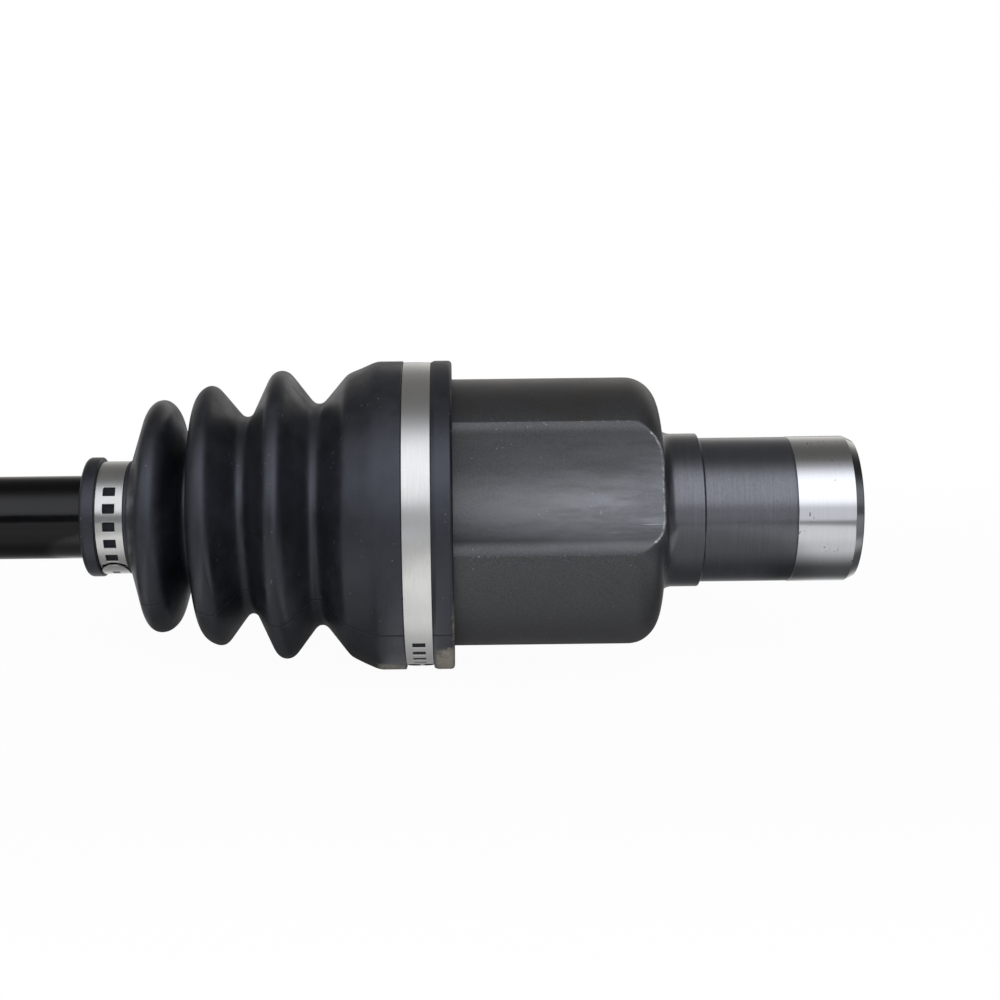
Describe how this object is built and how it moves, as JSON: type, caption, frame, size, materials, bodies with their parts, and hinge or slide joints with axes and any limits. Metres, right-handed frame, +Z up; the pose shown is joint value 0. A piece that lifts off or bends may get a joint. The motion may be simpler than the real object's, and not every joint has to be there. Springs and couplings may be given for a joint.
{
  "type": "drive shaft",
  "caption": "Constant velocity half shaft: lobed plunging tripod housing with splined socket stub, ribbed rubber boots with steel band clamps, plain bar and fixed ball joint with threaded wheel stub.",
  "frame": {"origin": "centre of the inboard stub's end face, where the gearbox's output spline enters", "axes": "+X along the shaft towards the gearbox, +Z up as the shaft lies in a car, with one roller trunnion pointing up"},
  "size_m": [0.628, 0.0904, 0.0904],
  "materials": {
    "forged_steel": "dark phosphated forging with a fine speckle and turned stretches",
    "ground_steel": "hardened and ground",
    "plated_steel": "oiled spring steel",
    "clamp_steel": "rolled stainless strip",
    "boot_rubber": "matt moulded rubber",
    "black_paint": "gloss black"
  },
  "bodies": {
    "shaft": {"bar": "black_paint", "spider": "forged_steel", "needle_rollers": "ground_steel", "needle_washers": "plated_steel", "trunnion_clips": "plated_steel", "spider_circlip": "plated_steel", "spider_stop_ring": "plated_steel", "inner_race": "ground_steel", "race_circlip": "plated_steel", "race_stop_ring": "plated_steel", "inboard_clamp_small": "clamp_steel", "outboard_clamp_small": "clamp_steel", "outboard_boot": "boot_rubber"},
    "roller_a": {"roller_a": "ground_steel"},
    "roller_b": {"roller_b": "ground_steel"},
    "roller_c": {"roller_c": "ground_steel"},
    "boot_mid": {"inboard_boot": "boot_rubber"},
    "tripod": {"tripod_housing": "forged_steel", "grease_plug": "plated_steel", "inboard_clamp_large": "clamp_steel"},
    "cage": {"cage": "forged_steel", "balls": "ground_steel"},
    "wheel_end": {"bell": "forged_steel", "outboard_clamp_large": "clamp_steel"}
  },
  "joints": [
    {"name": "inboard_bend", "type": "hinge", "parent": "shaft", "child": "boot_mid", "pos_m": [-0.098, 0, 0], "axis": [0, 1, 0], "range_deg": [-15, 15], "stiffness_Nm_per_rad": 20, "deforming": ["inboard_boot"]},
    {"name": "inboard_plunge", "type": "slide", "parent": "boot_mid", "child": "tripod", "axis": [1, 0, 0], "range_m": [-0.012, 0.012], "stiffness_N_per_m": 400, "deforming": ["inboard_boot"]},
    {"name": "wheel_bend", "type": "hinge", "parent": "shaft", "child": "wheel_end", "pos_m": [-0.53, 0, 0], "axis": [0, 0, 1], "range_deg": [-40, 40], "stiffness_Nm_per_rad": 2, "deforming": ["outboard_boot"]},
    {"name": "cage_turn", "type": "hinge", "parent": "shaft", "child": "cage", "pos_m": [-0.53, 0, 0], "axis": [0, 0, 1], "range_deg": [-20, 20]},
    {"name": "roller_a_spin", "type": "hinge", "parent": "shaft", "child": "roller_a", "pos_m": [-0.098, 0, 0], "axis": [0, 0, 1], "continuous": true},
    {"name": "roller_b_spin", "type": "hinge", "parent": "shaft", "child": "roller_b", "pos_m": [-0.098, 0, 0], "axis": [0, -0.866, -0.5], "continuous": true},
    {"name": "roller_c_spin", "type": "hinge", "parent": "shaft", "child": "roller_c", "pos_m": [-0.098, 0, 0], "axis": [0, 0.866, -0.5], "continuous": true}
  ],
  "couplings": [
    {"joint": "cage_turn", "follows": "wheel_bend", "ratio": 0.5}
  ]
}
